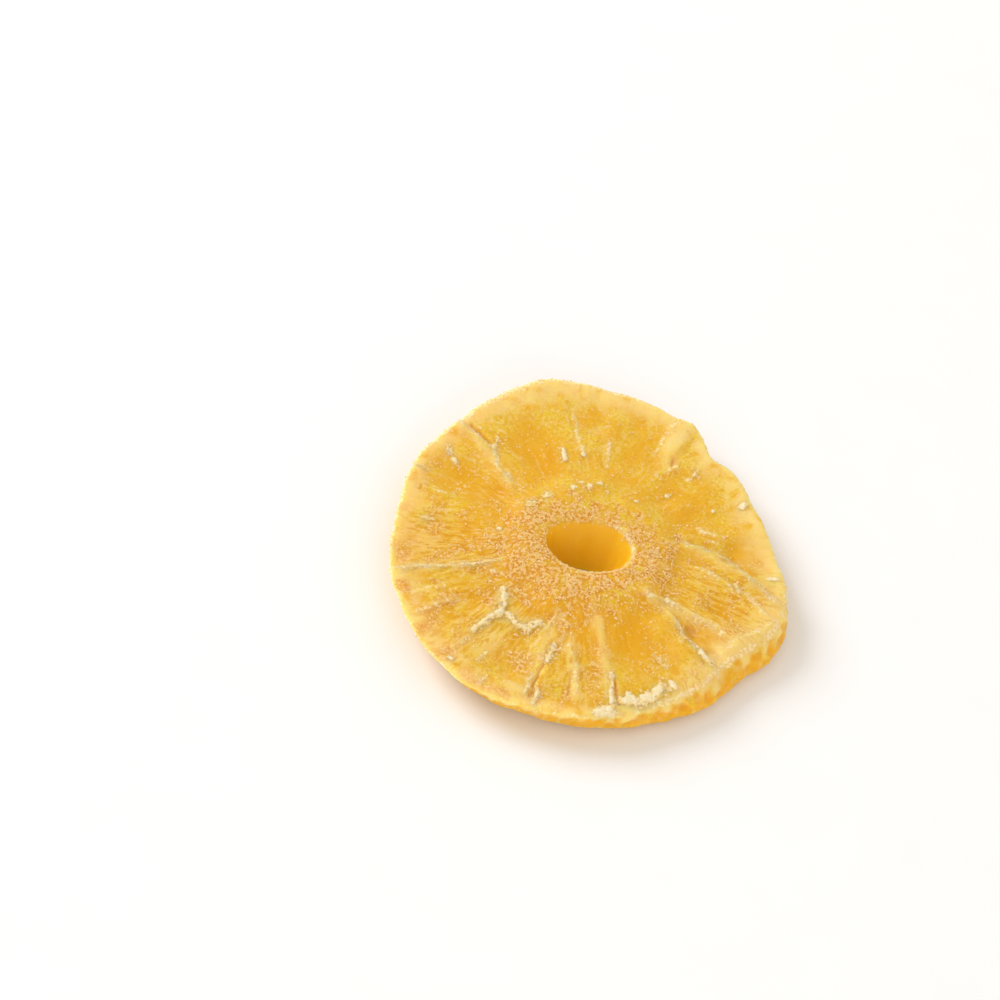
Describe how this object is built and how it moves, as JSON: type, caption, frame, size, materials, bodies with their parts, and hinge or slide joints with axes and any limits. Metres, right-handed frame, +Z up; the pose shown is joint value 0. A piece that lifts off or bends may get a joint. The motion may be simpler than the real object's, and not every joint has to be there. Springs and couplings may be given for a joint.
{
  "type": "pineapple ring",
  "caption": "Flat ring of candied pineapple with an uneven lobed edge, sunken cells between radial folds, and an oval core hole.",
  "frame": {"origin": "middle of the ring's bounding box, on the underside that rests on the table", "axes": "+Z up through the thickness, away from the table; +Y along the ring's longest reach"},
  "size_m": [0.0774, 0.081, 0.009],
  "materials": {
    "candied_flesh": "translucent amber flesh, half matt with dried syrup and sugar dust"
  },
  "bodies": {
    "root": {"pineapple_ring": "candied_flesh"}
  },
  "joints": []
}
